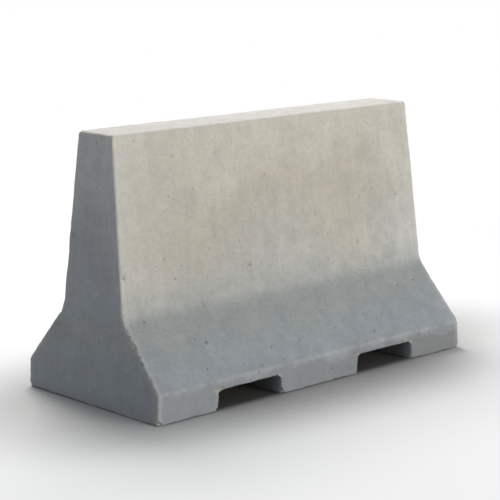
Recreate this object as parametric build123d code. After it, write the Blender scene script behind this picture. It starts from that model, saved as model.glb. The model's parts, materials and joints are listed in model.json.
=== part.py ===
from build123d import *
import math
import os

# A precast concrete traffic barrier, cast in one piece: a wide base with a short upright toe,
# a sloped lower face, a near upright upper face, and two pockets through the base for forks.
# X runs along the barrier, Y across it and Z up. The origin is the middle of the underside.
# All sizes are in millimetres.

# Outline of the cross-section
height = 800.0
base_width = 600.0
toe_height = 90.0
bend_height = 275.0
bend_width = 274.0
top_width = 155.0
bend_radius = 100.0

# Length along the ground, and how far each end leans in from the ground to the top
length = 1310.0
end_lean = 32.0

# Fork pockets, which run right across the base and are open underneath
pocket_width = 258.0
pocket_height = 60.0
pocket_spacing = 588.0
pocket_draft = 5.0
pocket_corner = 14.0

# Worn and formed edges
top_edge_radius = 12.0
toe_edge_radius = 8.0
end_edge_chamfer = 5.0
pocket_edge_chamfer = 3.0

NODE = "barrier_block"


def cross_section():
    """The outline across the barrier, with the bends rounded to the form's radius."""
    right_side = [
        (base_width / 2, 0),
        (base_width / 2, toe_height),
        (bend_width / 2, bend_height),
        (top_width / 2, height),
    ]
    left_side = [(-y, z) for y, z in reversed(right_side)]
    outline = make_face(Polyline(*right_side, *left_side, close=True))

    def corners_at(z):
        return [v for v in outline.vertices() if abs(v.Y - z) < 1e-6]

    outline = fillet(corners_at(bend_height), bend_radius)
    outline = fillet(corners_at(toe_height), toe_edge_radius)
    return fillet(corners_at(height), top_edge_radius)


def side_view():
    """The outline seen from the side: both ends lean in towards the top."""
    half_ground = length / 2
    half_top = half_ground - end_lean
    return make_face(
        Polyline(
            (-half_ground, 0),
            (half_ground, 0),
            (half_top, height),
            (-half_top, height),
            close=True,
        )
    )


def pocket(x):
    """The space of one fork pocket, centred on x: wider at the ground, with rounded inner corners."""
    half_mouth = pocket_width / 2
    half_roof = half_mouth - pocket_draft
    opening = make_face(
        Polyline(
            (x - half_mouth, 0),
            (x + half_mouth, 0),
            (x + half_roof, pocket_height),
            (x - half_roof, pocket_height),
            close=True,
        )
    )
    roof_corners = [v for v in opening.vertices() if v.Y > pocket_height / 2]
    opening = fillet(roof_corners, pocket_corner)
    return extrude(Plane.XZ * opening, base_width, both=True)


def end_outline_edges(body):
    """The edges round both end faces, apart from those on the ground."""
    lean_angle = math.atan(end_lean / height)
    edges = ShapeList()
    for face in body.faces():
        if abs(face.normal_at().X) > math.cos(lean_angle) - 1e-3:
            edges += [e for e in face.edges() if e.center().Z > 1e-3]
    return edges


def pocket_mouth_edges(body):
    """The edges where the pockets break out through the two toe faces."""
    edges = ShapeList()
    for face in body.faces():
        if abs(face.normal_at().Y) > 0.999 and face.center().Z < toe_height:
            edges += [
                e
                for e in face.edges()
                if 1e-3 < e.center().Z < pocket_height + 1e-3
                and abs(e.center().X) < pocket_spacing / 2 + pocket_width / 2 + 1e-3
            ]
    return edges


def barrier_block():
    """The whole barrier as one solid."""
    body = extrude(Plane.YZ * cross_section(), length, both=True)
    body = body & extrude(Plane.XZ * side_view(), base_width, both=True)
    body = chamfer(end_outline_edges(body), end_edge_chamfer)
    for side in (-1, 1):
        body = body - pocket(side * pocket_spacing / 2)
    return chamfer(pocket_mouth_edges(body), pocket_edge_chamfer)


os.makedirs("parts", exist_ok=True)
block = barrier_block().solids()[0]
export_step(block, os.path.join("parts", NODE + ".step"))
print(NODE, "volume in litres", round(block.volume / 1e6, 1))
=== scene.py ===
import json
import math
import random

import bmesh
import bpy
import numpy as np
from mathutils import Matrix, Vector, noise


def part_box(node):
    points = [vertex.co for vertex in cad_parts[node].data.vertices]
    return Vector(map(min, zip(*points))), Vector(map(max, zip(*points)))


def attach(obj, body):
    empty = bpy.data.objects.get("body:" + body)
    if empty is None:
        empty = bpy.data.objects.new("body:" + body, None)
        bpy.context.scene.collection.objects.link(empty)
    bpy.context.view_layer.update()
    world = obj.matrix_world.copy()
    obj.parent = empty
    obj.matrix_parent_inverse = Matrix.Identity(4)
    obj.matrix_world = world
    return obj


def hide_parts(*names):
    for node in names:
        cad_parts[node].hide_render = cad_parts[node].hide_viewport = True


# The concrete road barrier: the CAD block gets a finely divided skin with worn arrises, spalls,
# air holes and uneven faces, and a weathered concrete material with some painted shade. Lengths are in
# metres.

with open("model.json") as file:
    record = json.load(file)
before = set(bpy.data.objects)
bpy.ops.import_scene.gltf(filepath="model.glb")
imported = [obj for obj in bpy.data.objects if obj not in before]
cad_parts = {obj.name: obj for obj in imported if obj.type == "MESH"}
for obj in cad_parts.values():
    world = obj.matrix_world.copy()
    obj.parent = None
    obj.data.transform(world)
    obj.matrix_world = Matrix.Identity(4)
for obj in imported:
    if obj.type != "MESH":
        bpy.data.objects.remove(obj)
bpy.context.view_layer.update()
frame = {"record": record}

NODE = "barrier_block"
low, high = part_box(NODE)
mounts = {mount["name"]: mount["pos_m"] for mount in frame["record"]["mounts"]}

# Sizes of the block that the frame gives
HALF_LENGTH = high.x
HALF_BASE = high.y
HEIGHT = high.z
POCKET_X, _, POCKET_HEIGHT = mounts["fork_seat_right"]

# The other sizes of the block, as in its source
TOE_HEIGHT = 0.090
BEND_HEIGHT = 0.275
HALF_BEND = 0.137
HALF_TOP = 0.0775
END_LEAN = 0.032
BEND_RADIUS = 0.100
TOE_RADIUS = 0.008
TOP_RADIUS = 0.012
POCKET_HALF_WIDTH = 0.129
POCKET_DRAFT = 0.005
POCKET_CORNER = 0.014

# The block has five parts along its length, numbered from the near end. These two are pockets.
PARTS = 5
POCKET_PARTS = (1, 3)

# Spacing of the skin's points: close near an arris, wider on the open faces
FINE_STEP = 0.0023
COARSE_STEP = 0.0077
STEP_GROWTH = 0.16
SPACING_SAMPLES = 500

# The width that sets how many points lie across the block
ACROSS = 0.30

# Points of neighbouring patches this close become one
MERGE_DISTANCE = 1e-5

# The larger air holes. A place for one has an edge this long and faces this nearly level with it.
AIR_HOLES = 130
HOLE_SPACING = 0.017
SMALLEST_HOLE = 0.0028
HOLE_RANGE = 0.0042
HOLE_CUTS = 3
HOLE_LEAST_EDGE = 0.0045
HOLE_LEVEL = 0.9999
HOLE_REACH = 1.4
HOLE_ROUGHNESS = 0.3
HOLE_DEPTH = 0.65

# Widths of the worn arrises, and how much they vary
END_WEAR = 0.0075
END_WEAR_SPREAD = 0.75
LOW_WEAR = 0.0060
LOW_WEAR_SPREAD = 0.9

# Spalls along the arrises keep to this share of them, and most are small
SPALL_REACH = 0.98
SPALL_BIAS = 2.5
SPALL_ROUGHNESS = 0.35

# Concrete that has lost this much looks freshly broken
FRESH_DEPTH = 0.004

# How deep the unevenness of the faces goes, and how much deeper on top and where broken
BOW_DEPTH = 0.0012
LUMP_DEPTH = 0.0006
LUMP_MORE_ON_TOP = 0.0012
GRIT_DEPTH = 0.0002
GRIT_MORE_ON_TOP = 0.0006
GRIT_MORE_WHERE_BROKEN = 0.0011
TOP_FADE = 0.004

# How far from an arris its pale rub goes, how much less there is of it on the toe, and its falloff
RUB_REACH = 0.026
RUB_LESS_ON_TOE = 0.014
RUB_FALLOFF = 1.3

# Where the painted shade inside a pocket starts, and over what depth
POCKET_SHADE_START = 0.008
POCKET_SHADE_DEPTH = 0.045

NEARLY_NONE = 1e-12

random.seed(1897)


# The skin's outline and the spacing of its points

def graded(length, fine_start, fine_end):
    """Fractions of a length, closer together at the ends that need it, without the last one."""
    along = np.linspace(0.0, length, SPACING_SAMPLES)
    near = np.full_like(along, length)
    if fine_start:
        near = np.minimum(near, along)
    if fine_end:
        near = np.minimum(near, length - along)
    step = np.minimum(COARSE_STEP, FINE_STEP + STEP_GROWTH * near)
    cells = np.concatenate([[0.0], np.cumsum(np.diff(along) * 0.5 * (1 / step[1:] + 1 / step[:-1]))])
    count = max(1, int(round(cells[-1])))
    return np.interp(np.arange(count) / count * cells[-1], cells, along) / length


def unit(vector):
    return vector / np.linalg.norm(vector)


def arc_points(centre, first, last, radius, sweep):
    """Points on an arc round a centre, from the arm first to the arm last, without the last one."""
    cuts = max(4, int(round(radius * sweep / COARSE_STEP)))
    points = []
    for k in range(cuts):
        t = k / cuts
        arm = (math.sin((1 - t) * sweep) * first + math.sin(t * sweep) * last) / math.sin(sweep)
        points.append(centre + arm)
    return points


def section_outline():
    """Half of the cross-section, from the foot of the toe up to the top, as (half width, height)."""
    # Half width, height, radius, and whether the points lie closer together there
    corners = [
        (HALF_BASE, 0.0, 0.0, True),
        (HALF_BASE, POCKET_HEIGHT, 0.0, True),
        (HALF_BASE, TOE_HEIGHT, TOE_RADIUS, True),
        (HALF_BEND, BEND_HEIGHT, BEND_RADIUS, False),
        (HALF_TOP, HEIGHT, TOP_RADIUS, True),
        (0.0, HEIGHT, 0.0, False),
    ]
    place = [np.array(corner[:2]) for corner in corners]
    points = []
    start = place[0]
    for i in range(1, len(corners) - 1):
        radius, fine = corners[i][2:]
        back = unit(place[i - 1] - place[i])
        ahead = unit(place[i + 1] - place[i])
        half_inner = 0.5 * math.acos(np.clip(back @ ahead, -1, 1))
        setback = radius / math.tan(half_inner)
        arc_in = place[i] + back * setback
        arc_out = place[i] + ahead * setback
        run = arc_in - start
        points += [start + run * f for f in graded(np.linalg.norm(run), corners[i - 1][3], fine)]
        if radius:
            middle = back + ahead
            centre = place[i] + middle / np.linalg.norm(middle) * radius / math.sin(half_inner)
            sweep = math.pi - 2 * half_inner
            points += arc_points(centre, arc_in - centre, arc_out - centre, radius, sweep)
        start = arc_out
    points.append(start)
    return np.array(points)


def pocket_half_width(z):
    """Half the width of a fork pocket at a height, with its draft and rounded roof corners."""
    inside = np.minimum(z, POCKET_HEIGHT)
    half = POCKET_HALF_WIDTH - POCKET_DRAFT * inside / POCKET_HEIGHT
    into_corner = np.clip(inside - (POCKET_HEIGHT - POCKET_CORNER), 0, POCKET_CORNER)
    rounding = POCKET_CORNER - np.sqrt(POCKET_CORNER**2 - into_corner**2)
    above = np.clip((z - POCKET_HEIGHT) / (TOE_HEIGHT - POCKET_HEIGHT), 0, 1)
    return half - rounding * (1 - above)


def end_at(z):
    """How far the leaning ends are from the middle at a height."""
    return HALF_LENGTH - END_LEAN * z / HEIGHT


def along_block(u, z):
    """Where a column of the skin crosses a height. Whole numbers of u are the ends and pocket walls."""
    half = pocket_half_width(z)
    right = [POCKET_X - half, POCKET_X + half, end_at(z)]
    left = [-x for x in reversed(right)]
    return np.interp(u, np.arange(PARTS + 1), left + right)


def column_numbers():
    """The skin's columns from end to end, with closer columns at each end and pocket wall."""
    stops = along_block(np.arange(PARTS + 1), 0.0)
    columns = []
    for part in range(PARTS):
        columns += [part + f for f in graded(stops[part + 1] - stops[part], True, True)]
    return np.array(columns + [float(PARTS)])


outline = section_outline()
columns = column_numbers()
across = np.append(-1 + 2 * graded(ACROSS, True, True), 1.0)
rows_x = np.array([along_block(columns, z) for z in outline[:, 1]])
roof_row = int(np.argmin(abs(outline[:, 1] - POCKET_HEIGHT)))


# The skin

class Skin:
    """Patches of points, rows by columns, and the faces between them."""

    def __init__(self):
        self.patches = []
        self.faces = []
        self.count = 0

    def add(self, x, y, z, keep=None):
        """Adds a patch from its coordinates, without the faces that keep leaves out."""
        patch = np.stack(np.broadcast_arrays(x, y, z), axis=-1).astype(float)
        rows, cols = patch.shape[:2]
        for i in range(rows - 1):
            for j in range(cols - 1):
                if keep is None or keep[i][j]:
                    a = self.count + i * cols + j
                    self.faces.append((a, a + 1, a + cols + 1, a + cols))
        self.patches.append(patch.reshape(-1, 3))
        self.count += rows * cols

    def mesh(self, name):
        made = bpy.data.meshes.new(name)
        made.from_pydata([tuple(point) for point in np.concatenate(self.patches)], [], self.faces)
        return made


def underside_line(part):
    """The line along the foot of one part, which goes up, over and down again in a pocket."""
    picked = [j for j, c in enumerate(columns) if part <= c <= part + 1]
    if part not in POCKET_PARTS:
        return np.array([(rows_x[0][j], 0.0) for j in picked])
    near_wall = [(rows_x[i][picked[0]], outline[i, 1]) for i in range(roof_row)]
    roof = [(rows_x[roof_row][j], outline[roof_row, 1]) for j in picked]
    far_wall = [(rows_x[i][picked[-1]], outline[i, 1]) for i in reversed(range(roof_row))]
    return np.array(near_wall + roof + far_wall)


def build_skin():
    """The whole surface: both long sides and ends, the top, the underside and the pockets."""
    skin = Skin()
    y = outline[:, 0:1]
    z = outline[:, 1:2]
    in_pocket = np.array([int(c) in POCKET_PARTS for c in columns[:-1]])
    below_roof = outline[1:, 1] <= POCKET_HEIGHT + 1e-6
    side_keep = ~(below_roof[:, None] & in_pocket[None, :])
    for side in (-1, 1):
        skin.add(rows_x, side * y, z, side_keep)
        skin.add(side * end_at(z), y * across[None, :], z)
    skin.add(rows_x[-1][None, :], across[:, None] * outline[-1, 0], HEIGHT)
    for part in range(PARTS):
        line = underside_line(part)
        skin.add(line[:, 0:1], across[None, :] * HALF_BASE, line[:, 1:2])
    return skin.mesh("weathered_block")


def takes_hole(vert):
    """True on the flat of a long side or an end, clear of the arrises."""
    faces = vert.link_faces
    if len(faces) != 4 or max(e.calc_length() for e in vert.link_edges) < HOLE_LEAST_EDGE:
        return False
    if min(vert.normal.dot(face.normal) for face in faces) < HOLE_LEVEL or abs(vert.normal.z) > 0.8:
        return False
    # A face that looks along the block is an end or a pocket's wall, which takes no holes
    return abs(vert.normal.x) < 0.5 or abs(vert.co.x) > end_at(vert.co.z) - 0.001


def pick_air_holes(bm):
    """Picks the places and sizes of the larger air holes, and divides the skin more finely there."""
    draw = random.Random(41)
    open_spots = [v for v in bm.verts if takes_hole(v)]
    picked_holes = []
    # The edges are the keys, so that each comes once and they keep their order
    ring_edges = {}
    while len(picked_holes) < AIR_HOLES:
        picked = draw.choice(open_spots)
        if all((picked.co - spot).length > HOLE_SPACING for spot, size in picked_holes):
            size = SMALLEST_HOLE + HOLE_RANGE * draw.random() ** 2
            picked_holes.append((picked.co.copy(), size))
            ring_edges.update((e, True) for face in picked.link_faces for e in face.edges)
    bmesh.ops.subdivide_edges(bm, edges=list(ring_edges), cuts=HOLE_CUTS, use_grid_fill=True)
    many_sided = [face for face in bm.faces if len(face.verts) > 4]
    bmesh.ops.triangulate(bm, faces=many_sided, ngon_method="BEAUTY")
    return picked_holes


mesh = build_skin()
bm = bmesh.new()
bm.from_mesh(mesh)
bmesh.ops.remove_doubles(bm, verts=bm.verts, dist=MERGE_DISTANCE)
bmesh.ops.recalc_face_normals(bm, faces=bm.faces)
bm.normal_update()
holes = pick_air_holes(bm)
bm.to_mesh(mesh)
bm.free()


# Points, normals and noise

def read_points():
    co = np.empty(len(mesh.vertices) * 3)
    mesh.vertices.foreach_get("co", co)
    return co.reshape(-1, 3)


def write_points(p):
    mesh.vertices.foreach_set("co", p.ravel())
    mesh.update()


def read_normals():
    n = np.empty(len(mesh.vertices) * 3)
    mesh.vertex_normals.foreach_get("vector", n)
    return n.reshape(-1, 3)


def smooth_noise(p, size, seed):
    """Smooth noise from about -1 to 1 whose lumps are about size metres across."""
    shift = Vector((seed * 17.3, seed * 9.1, seed * 5.7))
    scale = 1.0 / size
    return np.array([noise.noise(Vector(q) * scale + shift) for q in p])


# Worn arrises

def outline_distance(p):
    """Distance from the long sides and the top, and the direction out of the block across it."""
    y = abs(p[:, 1])
    z = p[:, 2]
    best = np.full(len(p), np.inf)
    out = np.zeros((len(p), 2))
    path = np.vstack([outline, [[0.0, HEIGHT]]])
    for a, b in zip(path[:-1], path[1:]):
        d = b - a
        size = d @ d
        if size < NEARLY_NONE:
            continue
        t = np.clip(((y - a[0]) * d[0] + (z - a[1]) * d[1]) / size, 0, 1)
        dist = np.hypot(y - a[0] - t * d[0], z - a[1] - t * d[1])
        nearer = dist < best
        best = np.where(nearer, dist, best)
        out[nearer] = np.array([d[1], -d[0]]) / math.sqrt(size)
    direction = np.zeros_like(p)
    direction[:, 1] = out[:, 0] * np.sign(p[:, 1] + NEARLY_NONE)
    direction[:, 2] = out[:, 1]
    return best, direction


def end_distance(p):
    return np.clip((end_at(p[:, 2]) - abs(p[:, 0])) * math.cos(lean), 0, None)


def toe_distance(p):
    return HALF_BASE - abs(p[:, 1])


def toe_outward(p):
    return np.sign(p[:, 1:2]) * [[0.0, 1.0, 0.0]]


def pocket_distance(p):
    """Distance from a pocket's outline, for points in the concrete, and the way into the pocket."""
    x = abs(p[:, 0]) - POCKET_X
    half = pocket_half_width(np.minimum(p[:, 2], POCKET_HEIGHT))
    beside = np.clip(abs(x) - half, 0, None)
    over = np.clip(p[:, 2] - POCKET_HEIGHT, 0, None)
    dist = np.hypot(beside, over)
    way = np.zeros_like(p)
    weight = np.maximum(dist, 1e-9)
    way[:, 0] = -np.sign(x) * np.sign(p[:, 0] + NEARLY_NONE) * beside / weight
    way[:, 2] = -over / weight
    return dist, way


def on_pocket_wall(dist):
    """True for points on a pocket's roof or walls."""
    return dist < 1e-5


def pocket_outward(p, dist, way):
    """The way out of the concrete at a pocket, also for points on its roof or walls."""
    on_it = on_pocket_wall(dist)
    on_roof = on_it & (p[:, 2] > POCKET_HEIGHT - 1e-4)
    on_wall = on_it & ~on_roof
    out = np.zeros_like(p)
    out[on_roof, 2] = -1.0
    out[on_wall, 0] = -np.sign(abs(p[on_wall, 0]) - POCKET_X) * np.sign(p[on_wall, 0])
    return np.where(on_it[:, None], out, way)


def round_edge(p, d1, n1, d2, n2, radius):
    """Rounds the arris between two surfaces, given the distances from them and the ways out."""
    a = np.clip(radius - d1, 0, None)
    b = np.clip(radius - d2, 0, None)
    reach = np.hypot(a, b)
    hit = (a > 0) & (b > 0) & (reach > radius)
    shrink = np.where(hit, radius / np.maximum(reach, 1e-9), 1.0)
    return p - n1 * (a * (1 - shrink))[:, None] - n2 * (b * (1 - shrink))[:, None]


def wear_arrises(p):
    """Rounds every arris to an uneven width."""
    uneven = 0.6 * smooth_noise(p, 0.055, 1) + 0.4 * smooth_noise(p, 0.017, 2)
    end_radius = END_WEAR * (1 + END_WEAR_SPREAD * uneven)
    low_radius = LOW_WEAR * (1 + LOW_WEAR_SPREAD * uneven)
    down = np.tile([0.0, 0.0, -1.0], (len(p), 1))
    p = round_edge(p, end_distance(p), end_out, side_dist, side_out, end_radius)
    p = round_edge(p, p[:, 2], down, toe_distance(p), toe_outward(p), low_radius)
    p = round_edge(p, p[:, 2], down, end_distance(p), end_out, low_radius)
    dist, way = pocket_distance(p)
    mouth_out = pocket_outward(p, dist, way)
    return round_edge(p, toe_distance(p), toe_outward(p), dist, mouth_out, low_radius)


lean = math.atan(END_LEAN / HEIGHT)
start_points = read_points()
end_out = np.zeros_like(start_points)
end_out[:, 0] = np.sign(start_points[:, 0] + NEARLY_NONE) * math.cos(lean)
end_out[:, 2] = math.sin(lean)
side_dist, side_out = outline_distance(start_points)
p = wear_arrises(start_points)


# Spalls and chips

def spall_size(small, large):
    return small + (large - small) * random.random() ** SPALL_BIAS


def spalls_along_block():
    """Spalls on the arrises that run along the block."""
    # Half width and height of the arris, the way out across and up, how many, and their sizes
    arrises = (
        (HALF_TOP, HEIGHT, 0.7, 0.7, 26, 0.005, 0.013),
        (HALF_BASE, TOE_HEIGHT, 0.9, 0.4, 22, 0.005, 0.012),
        (HALF_BASE, 0.0, 0.7, -0.7, 34, 0.006, 0.020),
    )
    for half_width, z, out, up, number, small, large in arrises:
        for side in (-1, 1):
            for _ in range(number):
                x = random.uniform(-SPALL_REACH, SPALL_REACH) * end_at(z)
                yield (x, side * half_width, z), (0, side * out, up), spall_size(small, large)


def spalls_up_ends():
    """Spalls on the four arrises between the ends and the long sides."""
    for end, side in ((-1, -1), (-1, 1), (1, 1), (1, -1)):
        for _ in range(22):
            z = (random.uniform(-SPALL_REACH, SPALL_REACH) + 1) / 2 * HEIGHT
            y = side * np.interp(z, outline[:, 1], outline[:, 0])
            yield (end * end_at(z), y, z), (end * 0.7, side * 0.7, 0), spall_size(0.005, 0.015)


def broken_pocket_mouths():
    """Broken corners and roof edges of the pocket mouths."""
    for side in (-1, 1):
        for pocket in (-1, 1):
            for wall in (-1, 1):
                x = pocket * POCKET_X + wall * (POCKET_HALF_WIDTH - 0.004)
                part_way_up = POCKET_HEIGHT * random.uniform(0.1, 0.5)
                for z, size in ((part_way_up, 0.012), (0.002, 0.016), (POCKET_HEIGHT, 0.010)):
                    way = (-wall * 0.6, side * 0.7, 0)
                    yield (x, side * HALF_BASE, z), way, size * random.uniform(0.8, 1.5)
            for _ in range(4):
                x = pocket * POCKET_X + random.uniform(-0.9, 0.9) * POCKET_HALF_WIDTH
                way = (0, side * 0.7, -0.7)
                yield (x, side * HALF_BASE, POCKET_HEIGHT), way, random.uniform(0.006, 0.012)


def broken_corners():
    """Broken corners of the foot, the top and the toe."""
    # Half width and height of the corner, the way out of it, and the smallest and largest size
    corners = (
        (HALF_BASE, 0.0, 0.6, 0.6, -0.5, 0.020, 0.030),
        (HALF_TOP, HEIGHT, 0.6, 0.6, 0.5, 0.016, 0.024),
        (HALF_BASE, TOE_HEIGHT, 0.6, 0.7, 0.3, 0.012, 0.018),
    )
    for end in (-1, 1):
        for side in (-1, 1):
            for half_width, z, along, out, up, small, large in corners:
                where = (end * end_at(z), side * half_width, z)
                yield where, (end * along, side * out, up), random.uniform(small, large)


def front_chips():
    """The three chips that the front shows: two at the first pocket, one at the near corner."""
    wall_x = -POCKET_X - POCKET_HALF_WIDTH
    yield (wall_x - 0.006, -HALF_BASE, POCKET_HEIGHT), (0.3, -0.7, 0.0), 0.021
    yield (wall_x - 0.002, -HALF_BASE, 0.010), (0.5, -0.7, -0.3), 0.018
    yield (-HALF_LENGTH, -HALF_BASE, 0.006), (-0.6, -0.6, -0.3), 0.030


def gouge(p, centre, radius, seed):
    """Breaks concrete away inside an uneven ball."""
    offset = p - centre
    dist = np.linalg.norm(offset, axis=1)
    near = np.nonzero(dist < radius * (1 + SPALL_ROUGHNESS))[0]
    if not len(near):
        return p
    coarse = smooth_noise(p[near], radius * 0.55, seed)
    fine = smooth_noise(p[near], radius * 0.22, seed + 40)
    local = radius * (1 + SPALL_ROUGHNESS * (coarse + 0.5 * fine))
    hit = dist[near] < local
    picked = near[hit]
    p = p.copy()
    p[picked] = centre + offset[picked] * (local[hit] / np.maximum(dist[picked], 1e-6))[:, None]
    return p


spalls = []
for places in (spalls_along_block, spalls_up_ends, broken_pocket_mouths, broken_corners, front_chips):
    spalls += places()
before_spalls = p
for k, (where, way, size) in enumerate(spalls):
    centre = np.array(where) + unit(np.array(way)) * size * random.uniform(0.45, 0.75)
    p = gouge(p, centre, size, k)
broken_depth = np.linalg.norm(p - before_spalls, axis=1)
fresh = np.clip(broken_depth / FRESH_DEPTH, 0, 1)


# Uneven faces and air holes

def uneven_faces(p, normals):
    """A slow bow of the form, and lumps and grit left by the pour, rougher on top and where broken."""
    bow = 0.5 + 0.5 * smooth_noise(p, 0.34, 60)
    lumps = 0.5 + 0.5 * smooth_noise(p, 0.075, 61)
    grit = 0.5 + 0.5 * smooth_noise(p, 0.014, 62)
    on_top = np.clip((start_points[:, 2] - HEIGHT + TOP_FADE) / TOP_FADE, 0, 1)
    lump_depth = LUMP_DEPTH + LUMP_MORE_ON_TOP * on_top
    grit_depth = GRIT_DEPTH + GRIT_MORE_ON_TOP * on_top + GRIT_MORE_WHERE_BROKEN * fresh
    depth = BOW_DEPTH * bow + lump_depth * lumps + grit_depth * grit
    return p - normals * depth[:, None]


def sink_air_holes(p, normals):
    """Presses each air hole in as an uneven bowl."""
    for k, (spot, size) in enumerate(holes):
        offset = np.linalg.norm(start_points - np.array(spot), axis=1)
        near = np.nonzero(offset < HOLE_REACH * size)[0]
        local = size * (1 + HOLE_ROUGHNESS * smooth_noise(start_points[near], 1.3 * size, 200 + k))
        bowl = np.sqrt(np.clip(local**2 - offset[near] ** 2, 0, None))
        p[near] -= normals[near] * (HOLE_DEPTH * bowl)[:, None]
    return p


write_points(p)
normals = read_normals()
p = sink_air_holes(uneven_faces(p, normals), normals)
p = np.clip(p, [low.x, low.y, low.z], [high.x, high.y, high.z])
write_points(p)


# What the material needs to know of each point

def arris_mark():
    """1 on the arrises of the ends and the top, less on the toe's, and 0 on the open faces."""
    y = abs(start_points[:, 1])
    z = start_points[:, 2]
    nearest = np.minimum.reduce([
        end_distance(start_points) + side_dist,
        np.hypot(y - HALF_TOP, z - HEIGHT),
        RUB_LESS_ON_TOE + np.hypot(y - HALF_BASE, z - TOE_HEIGHT),
    ])
    return np.clip(1 - nearest / RUB_REACH, 0, 1) ** RUB_FALLOFF


def pocket_shade_mark():
    """0 at a pocket's mouth and 1 deeper in, for the painted shade inside the pockets."""
    inside = on_pocket_wall(pocket_distance(start_points)[0])
    depth = np.where(inside, toe_distance(start_points), 0.0)
    return np.clip((depth - POCKET_SHADE_START) / POCKET_SHADE_DEPTH, 0, 1)


# The pocket attribute marks where painted shade darkens the pockets
for label, values in (("arris", arris_mark()), ("broken", fresh), ("pocket", pocket_shade_mark())):
    attribute = mesh.attributes.new(label, "FLOAT", "POINT")
    attribute.data.foreach_set("value", values.astype(np.float32))

block = bpy.data.objects.new("weathered_block", mesh)
bpy.context.collection.objects.link(block)
mesh.polygons.foreach_set("use_smooth", [True] * len(mesh.polygons))
mesh.update()
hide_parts(NODE)
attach(block, "root")
print("skin triangles", sum(len(f.vertices) - 2 for f in mesh.polygons))


# A short way to write node materials

# The colour sockets of a Mix node
MIX_FIRST = 6
MIX_SECOND = 7
MIX_RESULT = 2


class Nodes:
    """Builds the node tree of a material or a world."""

    def __init__(self, owner):
        owner.use_nodes = True
        self.tree = owner.node_tree
        self.tree.nodes.clear()

    def put(self, socket, value):
        if isinstance(value, bpy.types.NodeSocket):
            self.tree.links.new(value, socket)
        else:
            socket.default_value = value

    def node(self, kind, **settings):
        made = self.tree.nodes.new(kind)
        for key, value in settings.items():
            setattr(made, key, value)
        return made

    def math(self, operation, *values):
        made = self.node("ShaderNodeMath", operation=operation)
        for socket, value in zip(made.inputs, values):
            self.put(socket, value)
        return made.outputs[0]

    def add(self, a, b):
        return self.math("ADD", a, b)

    def multiply(self, a, b):
        return self.math("MULTIPLY", a, b)

    def absolute(self, a):
        return self.math("ABSOLUTE", a)

    def scaled(self, vector, size):
        made = self.node("ShaderNodeVectorMath", operation="MULTIPLY")
        self.put(made.inputs[0], vector)
        self.put(made.inputs[1], size)
        return made.outputs[0]

    def length(self, vector):
        made = self.node("ShaderNodeVectorMath", operation="LENGTH")
        self.put(made.inputs[0], vector)
        return made.outputs["Value"]

    def parts(self, vector):
        made = self.node("ShaderNodeSeparateXYZ")
        self.put(made.inputs[0], vector)
        return made.outputs

    def object_place(self):
        return self.node("ShaderNodeTexCoord").outputs["Object"]

    def noise(self, vector, scale, detail=4.0, roughness=0.55, distortion=0.0):
        made = self.node("ShaderNodeTexNoise")
        self.put(made.inputs["Vector"], vector)
        made.inputs["Scale"].default_value = scale
        made.inputs["Detail"].default_value = detail
        made.inputs["Roughness"].default_value = roughness
        made.inputs["Distortion"].default_value = distortion
        return made.outputs["Fac"]

    def span(self, value, low, high, to_low=0.0, to_high=1.0, smooth=True):
        """A value between low and high, spread from to_low to to_high."""
        made = self.node("ShaderNodeMapRange", interpolation_type="SMOOTHSTEP" if smooth else "LINEAR")
        self.put(made.inputs["Value"], value)
        made.inputs["From Min"].default_value = low
        made.inputs["From Max"].default_value = high
        made.inputs["To Min"].default_value = to_low
        made.inputs["To Max"].default_value = to_high
        return made.outputs["Result"]

    def swing(self, field, amount):
        """A noise field, spread to either side of 0."""
        return self.span(field, 0.3, 0.7, -amount, amount)

    def mix(self, amount, a, b, blend="MIX"):
        made = self.node("ShaderNodeMix", data_type="RGBA", blend_type=blend)
        self.put(made.inputs["Factor"], amount)
        self.put(made.inputs[MIX_FIRST], a)
        self.put(made.inputs[MIX_SECOND], b)
        return made.outputs[MIX_RESULT]

    def mix_shaders(self, amount, a, b):
        made = self.node("ShaderNodeMixShader")
        for socket, value in zip(made.inputs, (amount, a, b)):
            self.put(socket, value)
        return made.outputs[0]

    def attribute(self, name):
        return self.node("ShaderNodeAttribute", attribute_name=name).outputs["Fac"]

    def finish(self, kind, surface):
        self.put(self.node(kind).inputs["Surface"], surface)


def grey(r, g, b):
    """A colour given as screen values from 0 to 255."""
    def linear(v):
        v /= 255
        return v / 12.92 if v <= 0.04045 else ((v + 0.055) / 1.055) ** 2.4
    return (linear(r), linear(g), linear(b), 1.0)


# The concrete

TOP_FACE_TONE = grey(196, 193, 186)
TOP_TONE = grey(190, 185, 174)
MIDDLE_TONE = grey(179, 173, 162)
BEND_TONE = grey(172, 171, 166)
PALE_TONE = grey(214, 214, 212)
# The slope tones are painted shade on faces that look up, together with dust
SLOPE_SHADE_AND_DUST_TONE = grey(147, 151, 149)
LOW_SLOPE_SHADE_AND_DUST_TONE = grey(144, 149, 153)
# The end tones carry painted shade: the ends darken and cool towards the foot
END_TONE = grey(204, 206, 207)
END_LOW_SHADE_TONE = grey(171, 177, 184)
# The pocket tone is painted shade inside the pockets
POCKET_SHADE_TONE = grey(98, 97, 94)
FOOT_TONE = grey(120, 121, 121)
ARRIS_TONE = grey(204, 202, 193)
BROKEN_TONE = grey(176, 171, 161)
# The hole tone is painted shade in the fine air holes
HOLE_SHADE_TONE = grey(86, 84, 80)


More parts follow.
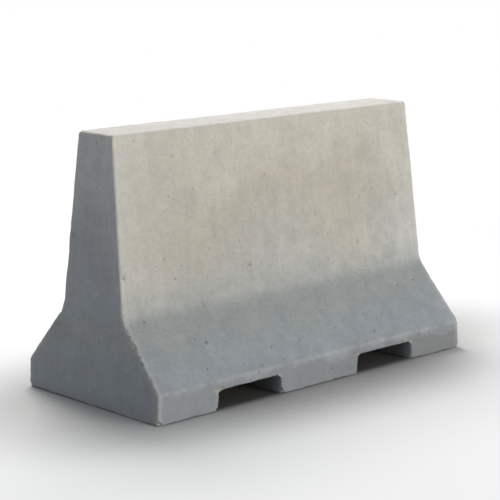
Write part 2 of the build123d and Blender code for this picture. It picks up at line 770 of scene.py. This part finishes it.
class Concrete(Nodes):
    """The weathered concrete, with some painted shade. Heights and lengths in it are the block's own, in
    metres.
    """

    def __init__(self, owner):
        super().__init__(owner)
        self.place = self.object_place()
        place_parts = self.parts(self.place)
        normal_parts = self.parts(self.node("ShaderNodeNewGeometry").outputs["Normal"])
        self.x = place_parts["X"]
        self.z = place_parts["Z"]
        self.upward = normal_parts["Z"]
        self.on_end = self.span(self.absolute(normal_parts["X"]), 0.5, 0.95)
        self.broad = self.noise(self.place, 2.6, 3.0, 0.5)
        self.blotch = self.noise(self.place, 9.0, 5.0, 0.6, 0.4)
        self.fleck = self.noise(self.place, 70.0, 4.0, 0.7)
        self.holes = self.hole_mask()

    def cast_colour(self):
        """Paler and warmer at the top, greyer down the face, a darker, cooler grey of painted shade and
        dust on the slope and toe, and painted shade on the ends.
        """
        drift = self.add(self.swing(self.broad, 0.10), self.swing(self.blotch, 0.03))
        level = self.add(self.z, drift)
        colour = self.mix(self.span(level, 0.52, 0.80), MIDDLE_TONE, TOP_TONE)
        colour = self.mix(self.span(level, 0.52, 0.28), colour, BEND_TONE)
        # Paler and less warm towards both ends
        ragged_x = self.add(self.x, self.swing(self.blotch, 0.05))
        near_end = self.span(self.absolute(ragged_x), 0.38, 0.60, 0.0, 0.20)
        colour = self.mix(near_end, colour, PALE_TONE)
        colour = self.mix(self.span(self.upward, 0.75, 0.95), colour, TOP_FACE_TONE)
        # Painted shade: the ends darken and cool towards the foot
        end_shade_colour = self.mix(self.span(level, 0.40, 0.80), END_LOW_SHADE_TONE, END_TONE)
        colour = self.mix(self.multiply(self.on_end, 0.85), colour, end_shade_colour)
        # Painted shade and dust: a darker, cooler grey on the slope and the toe, with less of it on the
        # ends
        ragged_z = self.add(self.z, self.swing(self.blotch, 0.03))
        slope = self.multiply(self.span(self.upward, 0.06, 0.64), self.span(self.z, 0.60, 0.45))
        slope_dust_and_shade = self.math("MAXIMUM", slope, self.span(ragged_z, 0.40, 0.11))
        slope_dust_and_shade = self.multiply(slope_dust_and_shade, self.span(self.on_end, 0.0, 1.0, 1.0, 0.50))
        slope_dust_and_shade_colour = self.mix(self.span(ragged_z, 0.24, 0.13), SLOPE_SHADE_AND_DUST_TONE, LOW_SLOPE_SHADE_AND_DUST_TONE)
        return self.mix(slope_dust_and_shade, colour, slope_dust_and_shade_colour)

    def uneven_shade(self):
        """Blotches, streaks down the faces, clouds, flecks and sand, as a colour to multiply by."""
        streak = self.noise(self.scaled(self.place, (26.0, 26.0, 1.6)), 1.0, 4.0, 0.55)
        cloud = self.noise(self.place, 24.0, 5.0, 0.62, 0.3)
        sand = self.noise(self.place, 330.0, 2.0, 0.6)
        shade = self.span(self.blotch, 0.25, 0.75, 0.955, 1.045)
        for field, amount in ((streak, 0.035), (cloud, 0.04), (self.fleck, 0.045), (sand, 0.05)):
            shade = self.add(shade, self.swing(field, amount))
        combined = self.node("ShaderNodeCombineColor")
        for socket in combined.inputs:
            self.put(socket, shade)
        return combined.outputs[0]

    def wear_and_shade_colour(self, colour):
        """A darker foot, more so towards the far end, pale worn arrises, painted shade inside the pockets,
        and broken places.
        """
        foot_line = self.add(self.z, self.swing(self.blotch, 0.02))
        foot = self.multiply(self.span(foot_line, 0.10, 0.06), self.span(self.x, -0.75, 0.75, 0.30, 0.85))
        foot = self.multiply(foot, self.span(self.on_end, 0.0, 1.0, 1.0, 0.0))
        colour = self.mix(foot, colour, FOOT_TONE)
        patchy = self.span(self.noise(self.place, 11.0, 5.0, 0.7), 0.34, 0.66, 0.10, 0.50)
        colour = self.mix(self.multiply(self.attribute("arris"), patchy), colour, ARRIS_TONE)
        # Painted shade: deeper inside the pockets the concrete is painted dark
        colour = self.mix(self.multiply(self.attribute("pocket"), 0.85), colour, POCKET_SHADE_TONE)
        return self.mix(self.multiply(self.attribute("broken"), 0.5), colour, BROKEN_TONE)

    def spots(self, scale, rarity, largest, softness):
        """Round spots of different sizes, in some of the cells of a random pattern."""
        cells = self.node("ShaderNodeTexVoronoi", feature="F1")
        self.put(cells.inputs["Vector"], self.place)
        self.put(cells.inputs["Scale"], scale)
        pick = self.node("ShaderNodeSeparateColor")
        self.put(pick.inputs[0], cells.outputs["Color"])
        size = self.span(pick.outputs[0], rarity, 1.0, 0.0, largest, smooth=False)
        return self.span(self.math("SUBTRACT", size, cells.outputs["Distance"]), 0.0, softness)

    def hole_mask(self):
        """Fine air holes, in crowds, and more of them low down."""
        small_holes = self.spots(42.0, 0.50, 0.17, 0.03)
        pin_holes = self.multiply(self.spots(118.0, 0.45, 0.24, 0.06), 0.8)
        crowd = self.span(self.noise(self.place, 5.0, 2.0), 0.40, 0.60, 0.25, 1.0)
        more_low = self.span(self.z, 0.36, 0.24, 0.55, 1.0)
        return self.multiply(self.multiply(self.math("MAXIMUM", small_holes, pin_holes), crowd), more_low)

    def relief(self):
        """The height of the fine relief, for bump: grain, holes, and rubble where it is broken."""
        grain = self.noise(self.place, 420.0, 3.0, 0.6)
        rubble = self.multiply(self.noise(self.place, 190.0, 4.0, 0.7), self.attribute("broken"))
        height = self.multiply(grain, 0.00025)
        for field, depth in (
            (self.fleck, 0.0007),
            (self.blotch, 0.0012),
            (self.holes, -0.0016),
            (rubble, 0.0016),
        ):
            height = self.add(height, self.multiply(field, depth))
        return height

    def build(self):
        colour = self.mix(1.0, self.cast_colour(), self.uneven_shade(), "MULTIPLY")
        colour = self.wear_and_shade_colour(colour)
        # Painted shade: the fine air holes are painted dark
        colour = self.mix(self.multiply(self.holes, 0.62), colour, HOLE_SHADE_TONE)
        bump = self.node("ShaderNodeBump")
        bump.inputs["Strength"].default_value = 0.85
        bump.inputs["Distance"].default_value = 1.0
        self.put(bump.inputs["Height"], self.relief())
        surface = self.node("ShaderNodeBsdfPrincipled")
        self.put(surface.inputs["Base Color"], colour)
        self.put(surface.inputs["Roughness"], self.span(self.blotch, 0.3, 0.7, 0.80, 0.94))
        surface.inputs["Specular IOR Level"].default_value = 0.28
        self.put(surface.inputs["Normal"], bump.outputs[0])
        self.finish("ShaderNodeOutputMaterial", surface.outputs[0])


concrete = bpy.data.materials.new("weathered_concrete_with_painted_shade")
Concrete(concrete).build()
mesh.materials.append(concrete)


# The floor

FLOOR_SIZE = 40.0
FLOOR_TONE = grey(165, 164, 161)
FLOOR_NEAR_SHADE_TONE = grey(172, 171, 169)
FLOOR_FAR_TONE = grey(243, 243, 242)
# The floor under the block is painted dark as shade
FLOOR_UNDER_SHADE_TONE = grey(88, 87, 85)
WHITE = (1.0, 1.0, 1.0, 1.0)


def under_block_shade(nodes, coordinate, half_size, before, behind):
    """1 for the floor under the block, along one axis, and 0 for the floor beside it, for its painted
    shade.
    """
    return nodes.span(nodes.absolute(coordinate), half_size + before, half_size - behind)


def floor_material():
    """Pale grey, painted darker near the block as shade and seen paler further away, and pure white where
    it meets the background.
    """
    material = bpy.data.materials.new("pale_floor_with_painted_shade")
    nodes = Nodes(material)
    seen = nodes.node("ShaderNodeLightPath").outputs["Is Camera Ray"]
    place = nodes.object_place()
    # Painted shade: the floor that the camera sees is darker near the block
    spread = nodes.length(nodes.scaled(place, (0.8, 1.6, 0.0)))
    seen_colour = nodes.mix(nodes.span(spread, 0.40, 1.15), FLOOR_NEAR_SHADE_TONE, FLOOR_FAR_TONE)
    # Painted shade: the floor under the block, seen inside the fork pockets and in a thin strip along the
    # foot, is painted dark
    x, y, _ = nodes.parts(place)
    under_x = under_block_shade(nodes, x, HALF_LENGTH, 0.0, 0.06)
    under_y = under_block_shade(nodes, y, HALF_BASE, 0.015, 0.03)
    seen_colour = nodes.mix(nodes.multiply(under_x, under_y), seen_colour, FLOOR_UNDER_SHADE_TONE)
    ground = nodes.node("ShaderNodeBsdfPrincipled")
    nodes.put(ground.inputs["Base Color"], nodes.mix(seen, FLOOR_TONE, seen_colour))
    ground.inputs["Roughness"].default_value = 0.9
    ground.inputs["Specular IOR Level"].default_value = 0.1
    white = nodes.node("ShaderNodeEmission")
    white.inputs["Color"].default_value = WHITE
    fade = nodes.multiply(nodes.span(nodes.length(place), 0.8, 2.9), seen)
    surface = nodes.mix_shaders(fade, ground.outputs[0], white.outputs[0])
    nodes.finish("ShaderNodeOutputMaterial", surface)
    return material


def build_floor():
    corners = [(x * FLOOR_SIZE, y * FLOOR_SIZE, 0) for x, y in ((-1, -1), (1, -1), (1, 1), (-1, 1))]
    floor_mesh = bpy.data.meshes.new("floor")
    floor_mesh.from_pydata(corners, [], [(0, 1, 2, 3)])
    floor_mesh.materials.append(floor_material())
    floor = bpy.data.objects.new("floor", floor_mesh)
    bpy.context.collection.objects.link(floor)


build_floor()


# Light

def studio_world():
    """Soft bluish light from all round, with a white background for the camera and for gloss."""
    world = bpy.data.worlds.new("studio")
    bpy.context.scene.world = world
    nodes = Nodes(world)
    ambient = nodes.node("ShaderNodeBackground")
    ambient.inputs["Color"].default_value = (0.90, 0.945, 1.0, 1.0)
    ambient.inputs["Strength"].default_value = 0.39
    backdrop = nodes.node("ShaderNodeBackground")
    backdrop.inputs["Color"].default_value = WHITE
    backdrop.inputs["Strength"].default_value = 1.0
    path = nodes.node("ShaderNodeLightPath").outputs
    seen = nodes.math("MAXIMUM", path["Is Camera Ray"], path["Is Glossy Ray"])
    nodes.finish("ShaderNodeOutputWorld", nodes.mix_shaders(seen, ambient.outputs[0], backdrop.outputs[0]))


def aim(thing, target):
    thing.rotation_euler = (Vector(target) - thing.location).to_track_quat("-Z", "Y").to_euler()


def soft_light(name, place, target, size, power, colour):
    lamp = bpy.data.lights.new(name, "AREA")
    lamp.shape = "RECTANGLE"
    lamp.size, lamp.size_y = size
    lamp.energy = power
    lamp.color = colour
    made = bpy.data.objects.new(name, lamp)
    made.location = place
    bpy.context.collection.objects.link(made)
    aim(made, target)


studio_world()
soft_light(
    "key",
    place=(1.0, -5.4, 0.95),
    target=(0.0, 0.0, 0.42),
    size=(3.0, 1.7),
    power=205.0,
    colour=(1.0, 0.985, 0.955),
)
soft_light(
    "behind",
    place=(0.9, 2.1, 3.8),
    target=(0.0, 0.0, 0.5),
    size=(2.2, 2.2),
    power=165.0,
    colour=(1.0, 0.99, 0.97),
)


# The camera, where the photograph was taken from, with a longer lens

camera = bpy.data.cameras.new("camera")
camera.sensor_width = 36.0
camera.lens = 126.0
camera.clip_end = 200.0
eye = bpy.data.objects.new("camera", camera)
eye.location = (-3.719, -3.874, 1.446)
bpy.context.collection.objects.link(eye)
aim(eye, (-0.012, 0.0, 0.375))
scene = bpy.context.scene
scene.camera = eye
scene.view_settings.view_transform = "Standard"

bpy.context.view_layer.update()
